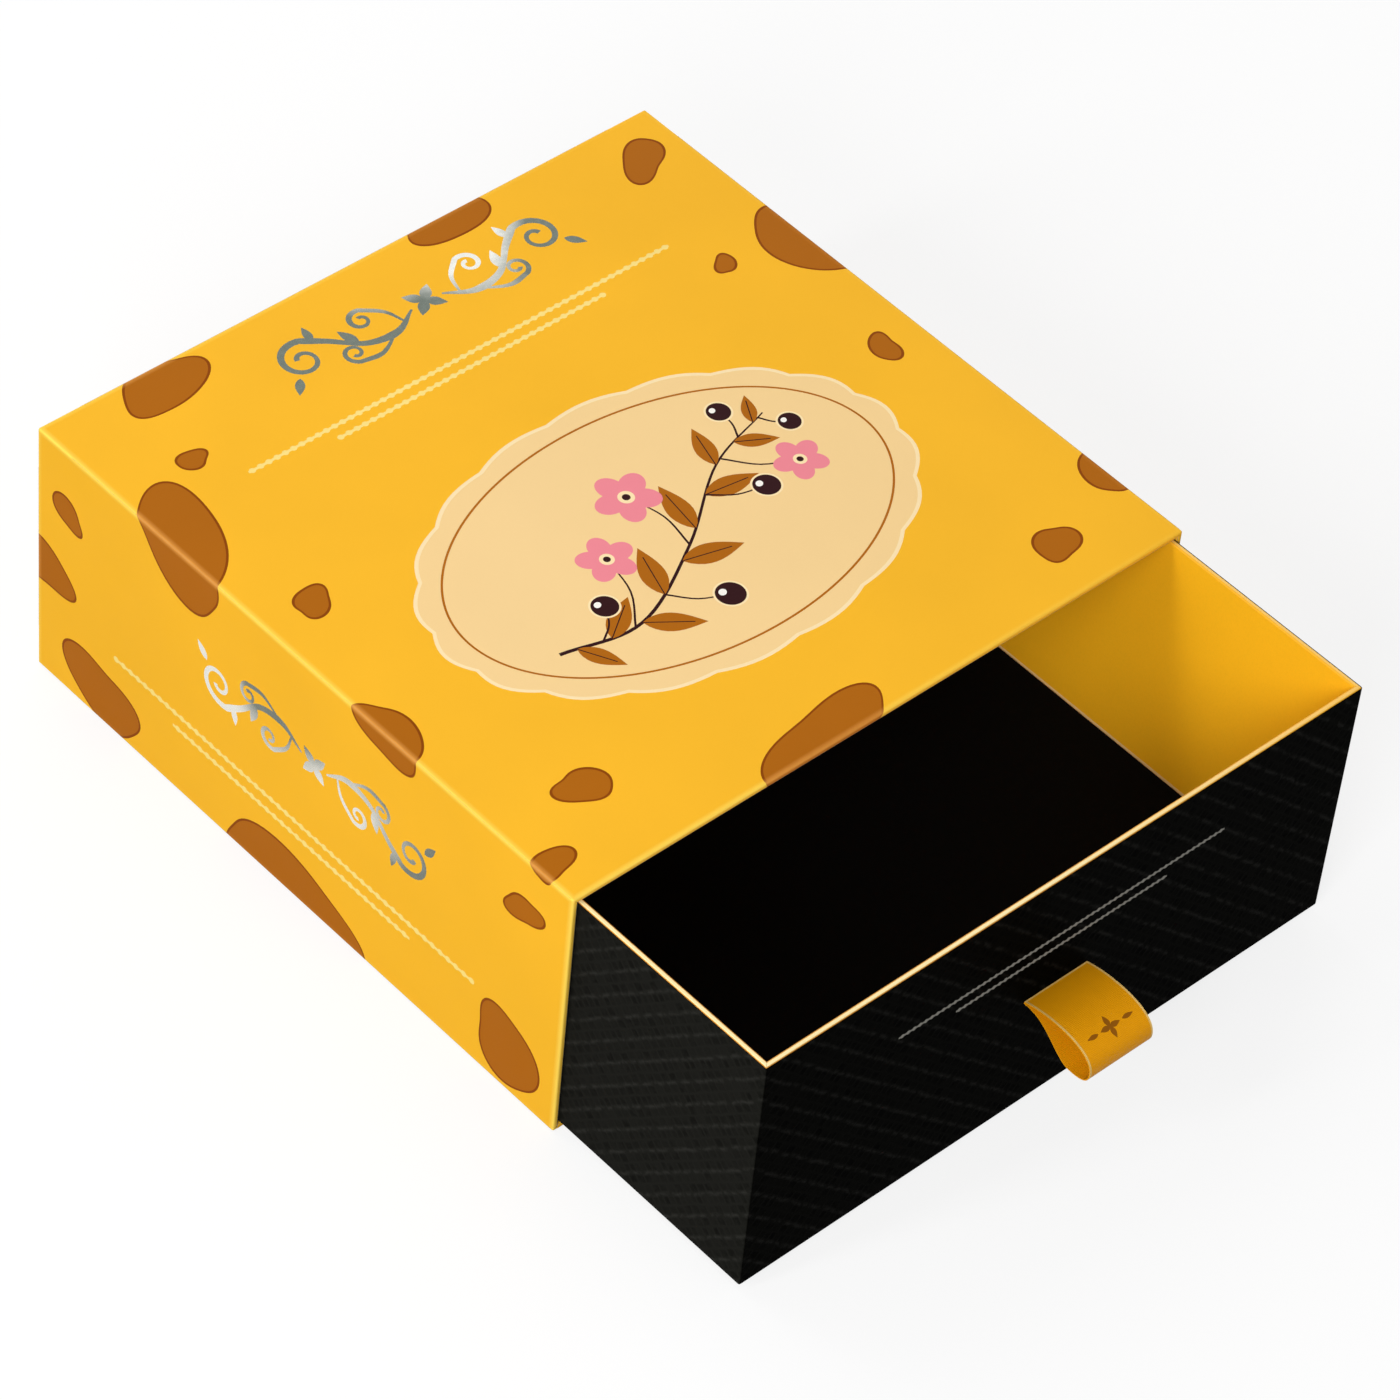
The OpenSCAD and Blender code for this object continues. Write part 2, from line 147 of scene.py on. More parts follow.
class Tree:
    """Short calls for the nodes of one material, or of the world."""

    def __init__(self, name, kind="materials"):
        self.owner = getattr(bpy.data, kind).new(name)
        self.owner.use_nodes = True
        self.nodes = self.owner.node_tree.nodes
        self.place = self.add("ShaderNodeTexCoord").outputs["Object"]

    def add(self, kind, inputs=None, **settings):
        node = self.nodes.new(kind)
        for key, value in settings.items():
            setattr(node, key, value)
        for key, value in (inputs or {}).items():
            self.put(node.inputs[key], value)
        return node

    def put(self, socket, value):
        if isinstance(value, bpy.types.NodeSocket):
            self.owner.node_tree.links.new(value, socket)
        else:
            socket.default_value = value

    def shade(self, **values):
        """Sets the shader's inputs and gives the material back."""
        for key, value in values.items():
            self.put(self.nodes["Principled BSDF"].inputs[key.replace("_", " ")], value)
        return self.owner

    def noise(self, scale, detail=2.0, place=None, roughness=0.5):
        inputs = {"Vector": place or self.place, "Scale": scale, "Detail": detail, "Roughness": roughness}
        return self.add("ShaderNodeTexNoise", inputs).outputs["Fac"]

    def span(self, value, low, high, from_low=0.0, from_high=1.0):
        """The value, with what lies between the last two taken to what lies between the first two."""
        inputs = {"Value": value, "From Min": from_low, "From Max": from_high,
                  "To Min": low, "To Max": high}
        return self.add("ShaderNodeMapRange", inputs).outputs["Result"]

    def maths(self, operation, first, second=0.0):
        return self.add("ShaderNodeMath", {0: first, 1: second}, operation=operation).outputs["Value"]

    def mix(self, share, first, second):
        found = self.add("ShaderNodeMix", {"Factor": share, 6: first, 7: second}, data_type="RGBA")
        return found.outputs[2]

    def surface(self, share, first, second, output="Material Output"):
        """The surface is the first shader, with this share of the second."""
        found = self.add("ShaderNodeMixShader", {"Fac": share, 1: first, 2: second})
        self.put(self.nodes[output].inputs["Surface"], found.outputs["Shader"])

    def attribute(self, name, output="Fac"):
        return self.add("ShaderNodeAttribute", attribute_name=name).outputs[output]

    def split(self, vector):
        return self.add("ShaderNodeSeparateXYZ", {"Vector": vector}).outputs

    def left_highlight_share(self, least, start=-60, end=90):
        """The share of a painted highlight or painted shade, strongest on the box's left where the lamps
        light it: 1 on the box's left, and from start to end, in millimetres, it falls to the least.
        """
        return self.span(self.split(self.place)["X"], 1, least, start * MM, end * MM)

    def seen(self):
        """1 for what the camera sees, in a mirror and through glass too, and 0 for other light."""
        path = self.add("ShaderNodeLightPath").outputs
        direct = self.maths("MAXIMUM", path["Is Camera Ray"], path["Is Glossy Ray"])
        return self.maths("MAXIMUM", direct, path["Is Transmission Ray"])

    def scaled(self, place, scale, turn=0.0):
        inputs = {"Vector": place, "Scale": scale, "Rotation": (0, 0, turn)}
        return self.add("ShaderNodeMapping", inputs).outputs["Vector"]

    def bump(self, height, distance, strength=1.0, below=None):
        inputs = {"Height": height, "Distance": distance, "Strength": strength}
        if below:
            inputs["Normal"] = below
        return self.add("ShaderNodeBump", inputs).outputs["Normal"]


def darker(colour, share):
    return tuple(value * share for value in colour[:3]) + (1.0,)


def mixed(first, second, share):
    return tuple(a + (b - a) * share for a, b in zip(first, second))


def paper_surface(tree, fibre=0.5, waviness=1.0):
    """Fibres that are felt more than seen, and the slight swell of a sheet glued on board."""
    swell = tree.bump(tree.noise(28, 1.0), 0.00025 * waviness, 0.35)
    fibres = tree.noise(1800, 4.0, roughness=0.65)
    return tree.bump(fibres, 0.00006, fibre, below=swell)


def ink(name, colour, worn_and_highlit=WORN_AND_HIGHLIT_YELLOW, mottle=0.05):
    """Printed paper under a matte film: nearly even ink, paler where a fold stretches it, and with a
    painted highlight along its folds that is strongest on the box's left.
    """
    tree = Tree(name)
    cloudy = tree.noise(22, 3.0)
    toned = tree.mix(tree.span(cloudy, 0, 1, 0.3, 0.7), darker(colour, 1 - mottle), colour)
    specks = tree.span(tree.noise(2600, 2.0), 0.0, 0.07, 0.5, 0.8)
    toned = tree.mix(specks, toned, darker(colour, 0.8))
    # the folds' wear share, fading towards the right, also lays a painted highlight on the ink
    rubbed_and_highlit = tree.maths("MULTIPLY", tree.attribute("crease"), tree.span(tree.noise(260, 3.0), 0.7, 1.0))
    return tree.shade(
        Base_Color=tree.mix(tree.maths("MULTIPLY", rubbed_and_highlit, tree.left_highlight_share(0.2)), toned, worn_and_highlit),
        Roughness=tree.span(tree.noise(60, 4.0), 0.41, 0.53),
        Specular_IOR_Level=0.035,
        Normal=paper_surface(tree),
    )


def foil(name):
    """Hot-stamped foil, pressed a little into the paper. Its grey turns to bright silver in long soft
    patches, which are a painted reflection."""
    tree = Tree(name)
    press = tree.bump(tree.noise(150, 2.0), 0.0009, 0.6)
    reflection_patches = tree.maths("ADD", tree.span(tree.noise(24, 0.0), -0.4, 1.1, 0.42, 0.6),
                         tree.span(tree.noise(210, 3.0), -0.2, 0.2))
    return tree.shade(
        Base_Color=tree.mix(tree.span(reflection_patches, 0, 1), FOIL_GREY, FOIL_REFLECTION_SILVER),
        Metallic=1.0,
        Roughness=tree.span(tree.noise(900, 3.0), 0.2, 0.34),
        Normal=tree.bump(tree.noise(2400, 3.0), 0.00004, 0.6, below=press),
    )


def plain_paper(name, colour, fibre=0.7, roughness=0.78, specular=0.22, right=None):
    """Uncoated paper, with its fibres. With a second colour, it turns to that one on the right, so that a
    painted highlight or painted shade fades out away from the lamps on the left.
    """
    tree = Tree(name)
    tone = tree.mix(tree.left_highlight_share(0.3, start=0), right, colour) if right else colour
    cloudy = tree.span(tree.noise(40, 3.0), 0.07, 0)
    fibres = tree.noise(900, 4.0, tree.scaled(tree.place, (1, 2.4, 1.6)), 0.7)
    shade = tree.maths("ADD", cloudy, tree.span(fibres, 0, 0.06, 0.45, 0.8))
    return tree.shade(
        Base_Color=tree.mix(shade, tone, BLACK),
        Roughness=roughness,
        Specular_IOR_Level=specular,
        Normal=paper_surface(tree, fibre),
    )


def embossed_black(name, half_front):
    """Black paper with slanting rows of a woven emboss: ribs with a painted highlight, and pits between
    them with painted shade.

    It is painted a deeper black on the drawer's front, as painted shade, and a paler black on its sides, as
    painted light. The front is half_front to either side of its middle.
    """
    slant, row_pitch, pit, rib_share = 44, 5.8, 3.3, 0.08
    rib_highlight_grey = (0.5, 0.49, 0.44, 1)
    tree = Tree(name)
    flat = tree.attribute("flat", "Vector")
    slanted = tree.split(tree.scaled(flat, (1, 1, 1), math.radians(slant)))
    across = tree.maths("ADD", slanted["Y"], tree.span(tree.noise(0.22, 2.0, flat), 0.8, 1.8))
    woven = tree.add("ShaderNodeCombineXYZ", {"X": slanted["X"], "Y": across}).outputs["Vector"]
    bricks = tree.add(
        "ShaderNodeTexBrick",
        {"Vector": woven, "Scale": 1.0, "Brick Width": pit, "Row Height": row_pitch / 2,
         "Mortar Size": 0.7, "Mortar Smooth": 1.0, "Bias": 0.0,
         "Color1": WHITE, "Color2": (0.3, 0.3, 0.3, 1), "Mortar": BLACK},
        offset=0.41, offset_frequency=2, squash=0.72, squash_frequency=3,
    )
    ripple = tree.maths("FRACT", tree.maths("DIVIDE", across, row_pitch))
    from_rib = tree.maths("MINIMUM", ripple, tree.maths("SUBTRACT", 1.0, ripple))
    uneven = tree.noise(0.35, 2.0, woven, 0.6)
    crisp = tree.span(uneven, 0, 1, 0.4, 0.58)
    rib = tree.maths("MULTIPLY", tree.span(from_rib, 1, 0, 0, 2 * rib_share), crisp)
    # painted shade in the pits, deeper on the front
    pits = tree.maths("MULTIPLY", bricks.outputs["Color"], tree.span(uneven, 0.35, 1, 0.4, 0.6))
    from_middle = tree.maths("ABSOLUTE", tree.split(tree.place)["X"])
    side_share = tree.span(from_middle, 0, 1, (half_front - 0.4) * MM, (half_front - 0.1) * MM)
    ground = tree.mix(side_share, SHADED_BLACK_FRONT, LIT_BLACK_SIDE)
    pit_share = tree.span(side_share, 0.9, 0.45)
    pitted = tree.mix(tree.maths("MULTIPLY", pits, pit_share), ground, BLACK)
    height = tree.maths("SUBTRACT", rib, pits)
    # painted highlight on the ribs, stronger on the sides
    shine = tree.maths("MULTIPLY", rib, tree.span(side_share, 0.012, 0.022))
    return tree.shade(
        Base_Color=tree.mix(shine, pitted, rib_highlight_grey),
        Roughness=tree.span(height, 0.7, 0.5, -1, 1),
        Specular_IOR_Level=0.004,
        Normal=tree.bump(height, 0.0001, 0.7, below=paper_surface(tree, 0.5)),
    )


def card(name, colour):
    tree = Tree(name)
    felt = tree.noise(420, 5.0, roughness=0.7)
    return tree.shade(
        Base_Color=tree.mix(tree.span(felt, 0, 1, 0.4, 0.75), darker(colour, 0.7), colour),
        Roughness=0.82,
        Specular_IOR_Level=0.05,
        Normal=tree.bump(felt, 0.00008, 0.5),
    )


def board(name, colour):
    """Recycled greyboard: mixed fibres with darker and paler specks."""
    tree = Tree(name)
    pulp = tree.mix(tree.noise(140, 4.0), darker(colour, 0.8), colour)
    dark = tree.mix(tree.span(tree.noise(1500, 2.0), 0, 0.8, 0.62, 0.72), pulp, darker(colour, 0.35))
    flecks = tree.span(tree.noise(1100, 2.0), 0, 0.6, 0.64, 0.74)
    pale = tree.mix(flecks, dark, mixed(colour, PAPER_WHITE, 0.6))
    return tree.shade(
        Base_Color=pale,
        Roughness=0.9,
        Specular_IOR_Level=0.2,
        Normal=tree.bump(tree.noise(700, 5.0, roughness=0.7), 0.0001, 0.8),
    )


def woven_ribbon(name, colour, cord=0.0):
    """Ribbon with fine ribs across it and a soft sheen."""
    rib_pitch, thread_pitch = 0.42, 0.3
    tree = Tree(name)
    flat = tree.split(tree.attribute("flat", "Vector"))
    rib = tree.maths("SINE", tree.maths("MULTIPLY", flat["Y"], 2 * math.pi / rib_pitch))
    thread = tree.maths("SINE", tree.maths("MULTIPLY", flat["X"], 2 * math.pi / thread_pitch))
    weave = tree.maths("ADD", rib, tree.maths("MULTIPLY", thread, 0.45 + cord))
    uneven = tree.noise(500, 3.0)
    lit = tree.span(tree.maths("ADD", weave, uneven), 0, 1, -1.2, 2.2)
    return tree.shade(
        Base_Color=tree.mix(lit, darker(colour, 0.76), colour),
        Roughness=tree.span(uneven, 0.38, 0.5),
        Specular_IOR_Level=0.08,
        Sheen_Weight=0.03,
        Sheen_Roughness=0.4,
        Sheen_Tint=mixed(colour, PAPER_WHITE, 0.5),
        Normal=tree.bump(weave, 0.00003, 0.8),
    )


inks = {
    "yellow": ink("print_yellow", YELLOW),
    "spot_edge": ink("print_spot_edge", SPOT_EDGE, worn_and_highlit=WORN_AND_HIGHLIT_BROWN),
    "spot": ink("print_spot", SPOT_BROWN, worn_and_highlit=WORN_AND_HIGHLIT_BROWN),
    "cream": ink("print_cream", CREAM, mottle=0.03),
    "cream_edge": ink("print_cream_edge", CREAM_EDGE, mottle=0.02),
    "dark": ink("print_dark", DARK_BROWN),
    "pink": ink("print_pink", BLOSSOM_PINK),
    "white": ink("print_white", WHITE_INK),
    "rule": ink("print_rule", RULE_YELLOW),
    "foil": foil("silver_foil"),
}
paper_back = plain_paper("paper_back", PAPER_WHITE)
black_paper = embossed_black("black_embossed_paper", half_front=DRAWER_HI[0])
lining_paper = plain_paper("yellow_lining_paper", LINING_YELLOW, fibre=0.45, roughness=0.62)
# a painted highlight along the rim, paler on the left where the lamps light it
rim_highlight_paper = plain_paper("painted_highlight_rim_paper", RIM_HIGHLIGHT_CREAM, fibre=0.45, roughness=0.55, right=LINING_YELLOW)
# painted shade on both rounded edges of the rim
rim_shade = plain_paper("painted_shade_rim_paper", RIM_SHADE_BROWN, fibre=0.45, roughness=0.6, right=LINING_YELLOW)
# a painted highlight along the lining's fold at the floor
foot_highlight_paper = plain_paper("painted_highlight_foot_paper", FOOT_HIGHLIGHT_CREAM, fibre=0.45, roughness=0.55)
grey_ink = plain_paper("print_grey", PRINT_GREY, fibre=0.5, specular=0.05)
brown_ink = plain_paper("print_brown", PRINT_BROWN, fibre=0.5, specular=0.1)
black_card = card("black_card", BLACK_CARD)
ribbon_weave = woven_ribbon("ribbon_weave", RIBBON_GOLD)
ribbon_edge = woven_ribbon("ribbon_selvedge", RIBBON_EDGE, cord=0.5)
greyboard = board("greyboard", GREYBOARD)
kraft_tape = plain_paper("kraft_tape", KRAFT, fibre=0.9, roughness=0.7)

# ---- folding


def left_of(heading):
    return np.stack([-heading[..., 1], heading[..., 0]], -1)


def of_length_1(rows):
    return rows / np.linalg.norm(rows, axis=1, keepdims=True)


class Run:
    """Straight stretches joined by rounded right-angle folds: a folded sheet seen edge on.

    A place on it is measured as if the folds were sharp. turns are 1 to the left and -1 to the
    right, and side is 1 where the sheet's face is to the left of the heading.
    """

    def __init__(self, first, start, heading, lengths, turns=(), radii=(FOLD_R,) * 4, wear_and_highlight=(), side=-1):
        self.side = side
        self.wear_and_highlight = wear_and_highlight or [0] * len(turns)
        self.stretches = []
        self.folds = []
        at, corner, heading = first, np.array(start, float), np.array(heading, float)
        for i, length in enumerate(lengths):
            self.stretches.append((at, corner, heading))
            at, corner = at + length, corner + length * heading
            if i < len(turns):
                onward = turns[i] * left_of(heading)
                self.folds.append((at, corner, heading, onward, radii[i]))
                heading = onward
        self.last = at

    def place(self, where):
        """The points and the face's normals at these places."""
        where = np.asarray(where, float)
        points, normals = np.zeros((2, len(where), 2))
        for i, (at, corner, heading) in enumerate(self.stretches):
            here = (where >= at) | (i == 0)
            points[here] = corner + np.outer(where[here] - at, heading)
            normals[here] = self.side * left_of(heading)
        for at, corner, heading, onward, radius in self.folds:
            here = abs(where - at) < radius
            angle = (where[here] - at + radius) / radius * math.pi / 4
            spoke = np.outer(np.sin(angle), heading) - np.outer(np.cos(angle), onward)
            hollow = self.side * left_of(heading) @ onward > 0
            points[here] = corner + radius * (onward - heading) + radius * spoke
            normals[here] = -spoke if hollow else spoke
        return points, normals

    def creases(self):
        """The places where a fold starts, bends and ends, and where its wear and painted highlight end."""
        steps = np.linspace(-1, 1, FOLD_STEPS + 1)
        places = [at + radius * step for at, _, _, _, radius in self.folds for step in steps]
        for fold, wear_and_highlight in zip(self.folds, self.wear_and_highlight):
            if wear_and_highlight:
                places += [fold[0] - WEAR_AND_HIGHLIGHT_REACH, fold[0] + WEAR_AND_HIGHLIGHT_REACH]
        return places

    def worn_and_highlit(self, where):
        """How worn the sheet is, which also sets its painted highlight: most in the middle of a fold, and 0
        away from it.
        """
        share = np.zeros(len(where))
        for fold, wear_and_highlight in zip(self.folds, self.wear_and_highlight):
            share = np.maximum(share, wear_and_highlight * (1 - abs(where - fold[0]) / WEAR_AND_HIGHLIGHT_REACH))
        return share


class Folded:
    """A sheet's place in space. Its run across gives two of the axes, and its run along gives how
    far it stands out from that run, and where it is on the third axis."""

    def __init__(self, across, along, axes):
        self.across, self.along = across, along
        self.axes = np.array(axes, float)

    def place(self, flat, depth=0.0):
        """The points, at this depth under the face, and the face's normals."""
        spot, outward = self.across.place(flat[:, 0])
        over, facing = self.along.place(flat[:, 1])
        out, on = (over - depth * facing).T[:, :, None]
        first, second, third = self.axes
        points = (spot[:, :1] + out * outward[:, :1]) * first
        points = points + (spot[:, 1:] + out * outward[:, 1:]) * second + on * third
        side = outward[:, :1] * first + outward[:, 1:] * second
        return points, facing[:, :1] * side + facing[:, 1:] * third

    def depth_at(self, along):
        """How deep under the run across the sheet lies at a place along it."""
        return -self.along.place([along])[0][0, 0]


X_AXIS, Y_AXIS, Z_AXIS = np.eye(3)
FRONT_VIEW = X_AXIS, Z_AXIS, Y_AXIS  # for a run across that is drawn as seen from the front
PLAN_VIEW = X_AXIS, Y_AXIS, Z_AXIS  # and for one that is drawn as seen from above

# ---- flat sheets


def triangulated(loops, lines):
    """Points and triangles over everything that the loops span, split along every line."""
    points, edges = [], []
    for loop in loops:
        start = len(points)
        points += [Vector(p) for p in loop]
        edges += [(start + i, start + (i + 1) % len(loop)) for i in range(len(loop))]
    for line in lines:
        edges.append((len(points), len(points) + 1))
        points += [Vector(p) for p in line]
    found = delaunay_2d_cdt(points, edges, [], 0, 1e-4)
    return np.array([p[:] for p in found[0]]), np.array([f[:] for f in found[2]])


def within(points, loop):
    """Which points a closed loop winds round."""
    loop = np.asarray(loop, float)
    near = ((points > loop.min(0)) & (points < loop.max(0))).all(1)
    inside = np.zeros(len(points), bool)
    x, y = points[near].T
    turns = np.zeros(len(x), int)
    for (x0, y0), (x1, y1) in zip(loop, np.roll(loop, -1, 0)):
        left = (x1 - x0) * (y - y0) - (x - x0) * (y1 - y0) > 0
        turns += ((y0 <= y) & (y < y1) & left).astype(int)
        turns -= ((y1 <= y) & (y < y0) & ~left).astype(int)
    inside[near] = turns != 0
    return inside


def crease_lines(folded, outline):
    """Each crease as a line across the whole sheet."""
    low, high = np.min(outline, 0) - 1, np.max(outline, 0) + 1
    lines = [((at, low[1]), (at, high[1])) for at in folded.across.creases()]
    return lines + [((low[0], at), (high[0], at)) for at in folded.along.creases()]


def merged(points, triangles):
    """The same triangles with points in one place made one, and the collapsed ones gone."""
    _, first, where = np.unique((points * 1e4).round(), axis=0, return_index=True, return_inverse=True)
    triangles = where.reshape(-1)[triangles]
    a, b, c = triangles.T
    kept = (a != b) & (b != c) & (c != a)
    return first, triangles[kept], kept


def facing(points, normals, triangles):
    """The triangles in the order that makes them face along the normals. They were all cut in one
    order, so they turn together."""
    a, b, c = (points[triangles[:, i]] for i in range(3))
    along = (np.cross(b - a, c - a) * normals[triangles[:, 0]]).sum()
    return triangles[:, ::-1] if along < 0 else triangles


def open_edges(triangles):
    """The edges that only one triangle has, in its own direction."""
    edges = triangles[:, [0, 1, 1, 2, 2, 0]].reshape(-1, 2)
    keys, where, uses = np.unique(np.sort(edges, 1), axis=0, return_inverse=True, return_counts=True)
    return edges[uses[where.reshape(-1)] == 1]


def bake_map(mesh, flat, front_loops, thickness_loops):
    """A map of the sheet as cut, with its face below and its back above."""
    low, high = flat.min(0), flat.max(0)
    size = max(high[0] - low[0], 2 * (high[1] - low[1]) + 4) * 1.02
    spots = (flat - low) / size + 0.01
    lift = (high[1] - low[1] + 3) / size
    layer = mesh.uv_layers.new(name="OFBake")
    vertex = np.zeros(len(mesh.loops), np.int32)
    mesh.loops.foreach_get("vertex_index", vertex)
    places = spots[vertex % len(flat)]
    places[~front_loops & ~thickness_loops, 1] += lift
    layer.uv.foreach_set("vector", places.astype(np.float32).ravel())


def put_in_scene(name, data):
    piece = bpy.data.objects.new(name, data)
    bpy.context.scene.collection.objects.link(piece)
    return piece


def make_sheet(name, folded, outline, thickness, body, face, back, prints=(), holes=(), pattern=None):
    """Cuts a sheet, prints it, folds it round the box and gives it its thickness.

    face and back are materials, and each print is (material, loop), the later ones on top.
    """
    loops = [outline, *holes, *(loop for _, loop in prints)]
    flat, triangles = triangulated(loops, crease_lines(folded, outline))
    middles = flat[triangles].mean(1)
    kept = within(middles, outline)
    for hole in holes:
        kept &= ~within(middles, hole)
    triangles, middles = triangles[kept], middles[kept]

    slots = [face, back]
    slot_of = np.zeros(len(triangles), int)
    for material, loop in prints:
        if material not in slots:
            slots.append(material)
        slot_of[within(middles, loop)] = slots.index(material)

    used, triangles = np.unique(triangles, return_inverse=True)
    flat, triangles = flat[used], triangles.reshape(-1, 3)
    points, normals = folded.place(flat)
    first, triangles, kept = merged(points, triangles)
    flat, points, normals, slot_of = flat[first], points[first], normals[first], slot_of[kept]
    triangles = facing(points, normals, triangles)
    under, _ = folded.place(flat, thickness)

    n = len(points)
    rim = open_edges(triangles)
    rim_faces = np.column_stack([rim[:, 1], rim[:, 0], rim[:, 0] + n, rim[:, 1] + n])
    faces = triangles.tolist() + (triangles[:, ::-1] + n).tolist() + rim_faces.tolist()
    mesh = bpy.data.meshes.new(name)
    mesh.from_pydata((np.concatenate([points, under]) * MM).tolist(), [], faces)
    piece = put_in_scene(name, mesh)

    for material in slots:
        mesh.materials.append(material)
    count = len(triangles)
    face_slots = np.concatenate([slot_of, np.ones(count, int), np.zeros(len(rim), int)])
    mesh.polygons.foreach_set("material_index", face_slots.astype(np.int32))
    smooth = np.arange(len(faces)) < 2 * count
    mesh.polygons.foreach_set("use_smooth", smooth)

    loop_face = np.repeat(np.arange(len(faces)), [len(f) for f in faces])
    corner_of = np.array([v for f in faces for v in f])
    front, edge = loop_face < count, loop_face >= 2 * count
    corner_normals = np.concatenate([normals, -normals])[corner_of] * ~edge[:, None]
    mesh.normals_split_custom_set(corner_normals.tolist())  # where it is 0, the face's own is kept
    # how worn each place is, which also sets the inks' painted highlight along the folds
    worn_and_highlit = np.maximum(folded.across.worn_and_highlit(flat[:, 0]), folded.along.worn_and_highlit(flat[:, 1]))
    write_values(mesh, "crease", "FLOAT", "value", np.tile(worn_and_highlit, 2))
    seen_flat = flat if pattern is None else pattern(flat)
    flat_places = np.column_stack([seen_flat, np.zeros(n)])
    write_values(mesh, "flat", "FLOAT_VECTOR", "vector", np.tile(flat_places, (2, 1)))
    bake_map(mesh, flat, front, edge)
    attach(piece, body)
    return piece


def write_values(mesh, name, kind, key, values):
    layer = mesh.attributes.new(name, kind, "POINT")
    layer.data.foreach_set(key, values.astype(np.float32).ravel())


# ---- drawing


def unit(degrees):
    """A step of length 1 at each of these angles."""
    angle = np.radians(degrees)
    return np.stack([np.cos(angle), np.sin(angle)], -1)


def turned(points, angle, centre=(0, 0), flip=1):
    """Points turned by an angle in degrees, mirrored first where flip is -1, and moved."""
    return np.asarray(points, float) * (flip, 1) @ unit([angle, angle + 90]) + centre


def ring(radius_at, steps=72):
    """A closed loop whose radius is a function of the angle, in radians."""
    angles = np.linspace(0, 360, steps, endpoint=False)
    return unit(angles) * radius_at(np.radians(angles))[:, None]


def ellipse(centre, length, width, angle=0.0, steps=40):
    return turned(ring(np.ones_like, steps) * (length / 2, width / 2), angle, centre)


def spot(centre, length, width, angle, seed, grow=0.0):
    """A rounded, slightly cornered spot, as on a patterned hide. grow widens it all round."""
    wave = np.random.default_rng(seed).uniform(-1, 1, 6)

    def radius(a):
        return (
            1 + 0.14 * wave[0] * np.cos(2 * a + 3 * wave[1]) + 0.09 * np.cos(3 * a + 3 * wave[2])
            + 0.025 * np.cos(4 * a + 3 * wave[3]) + 0.012 * wave[4] * np.cos(5 * a + 3 * wave[5])
        )

    return turned(ring(radius) * (length / 2 + grow, width / 2 + grow), angle, centre)


def smooth(points, steps=10):
    """A smooth line through a few points, which it meets one after the other."""
    p = np.asarray(points, float)
    p = np.vstack([2 * p[0] - p[1], p, 2 * p[-1] - p[-2]])
    t = np.linspace(0, 1, steps, endpoint=False)[:, None]
    parts = []
    for a, b, c, d in zip(p, p[1:], p[2:], p[3:]):
        parts.append(
            b + t * (c - a) / 2 + t**2 * (a - 2.5 * b + 2 * c - d / 2) + t**3 * (-a + 3 * b - 3 * c + d) / 2
        )
    return np.vstack([*parts, p[-2:-1]])


def spiral(centre, outer, inner, start, sweep, steps=34):
    """Points that wind in from the outer to the inner radius. Angles are in degrees."""
    share = np.linspace(0, 1, steps)
    radius = outer + (inner - outer) * share**0.8
    return np.asarray(centre) + unit(start + sweep * share) * radius[:, None]


def stroke(line, widths):
    """The outline of a pen stroke along a line, as wide as widths say from its start to its end."""
    line = np.asarray(line, float)
    beside = left_of(of_length_1(np.gradient(line, axis=0)))
    share = np.linspace(0, 1, len(line))
    half = np.interp(share, np.linspace(0, 1, len(widths)), widths)[:, None] / 2
    return np.vstack([line + beside * half, (line - beside * half)[::-1]])


def leaf(base, angle, length, width):
    """A pointed leaf, widest a little before its middle."""
    share = np.linspace(0, 1, 12)
    half = width / 2 * np.sin(math.pi * share**0.8)
    upper = np.column_stack([share * length, half])
    lower = upper * (1, -1)
    return turned(np.vstack([upper, lower[-2:0:-1]]), angle, base)


def rule(first, second, width):
    """A thin straight rule between two points."""
    return stroke(np.linspace(first, second, 2), [width, width])


def rectangle(left, low, right, high):
    return [(left, low), (right, low), (right, high), (left, high)]


# ---- artwork

# centre across and along, length, width, angle and seed of each spot on the sleeve
TOP_SPOTS = [
    (-66, 93, 26, 17, 20, 3), (30, 99, 28, 16, -8, 11), (86, 85, 17, 12, 40, 4),
    (-99, 47, 42, 24, 62, 5), (99, 36, 30, 22, 100, 14), (-85, 12, 12, 9, 30, 17),
    (-100, -33, 24, 15, 80, 18), (87, -6, 11, 8, 70, 9), (-74, -74, 15, 11, -35, 10),
    (-96, -88, 13, 9, 15, 21), (-18, -98, 40, 20, 8, 12), (72, -84, 14, 11, 28, 13),
    (100, -72, 18, 12, 75, 2), (-77, 68, 9, 7, 0, 6), (76, 42, 8, 6, 50, 15),
]
SIDE_SPOTS = [
    (72, 74, 30, 20, 80, 22), (20, 88, 13, 9, 60, 23), (80, -2, 52, 24, 88, 24),
    (68, -82, 26, 21, 40, 25), (17, -84, 14, 9, 110, 26), (44, 98, 26, 15, 80, 27),
]
BACK_SPOTS = [
    (-64, 56, 34, 22, 15, 31), (-18, 22, 22, 15, 60, 32), (30, 66, 28, 17, -20, 33),
    (72, 30, 36, 23, 50, 34), (-82, 10, 18, 13, 20, 35), (14, 3, 30, 16, -5, 36),
]
EDGE_LINE = 0.65


def printed_spots(spots):
    """Each spot with its thin darker edge."""
    prints = []
    for across, along, *rest in spots:
        prints.append((inks["spot_edge"], spot((across, along), *rest)))
        prints.append((inks["spot"], spot((across, along), *rest, -EDGE_LINE)))
    return prints


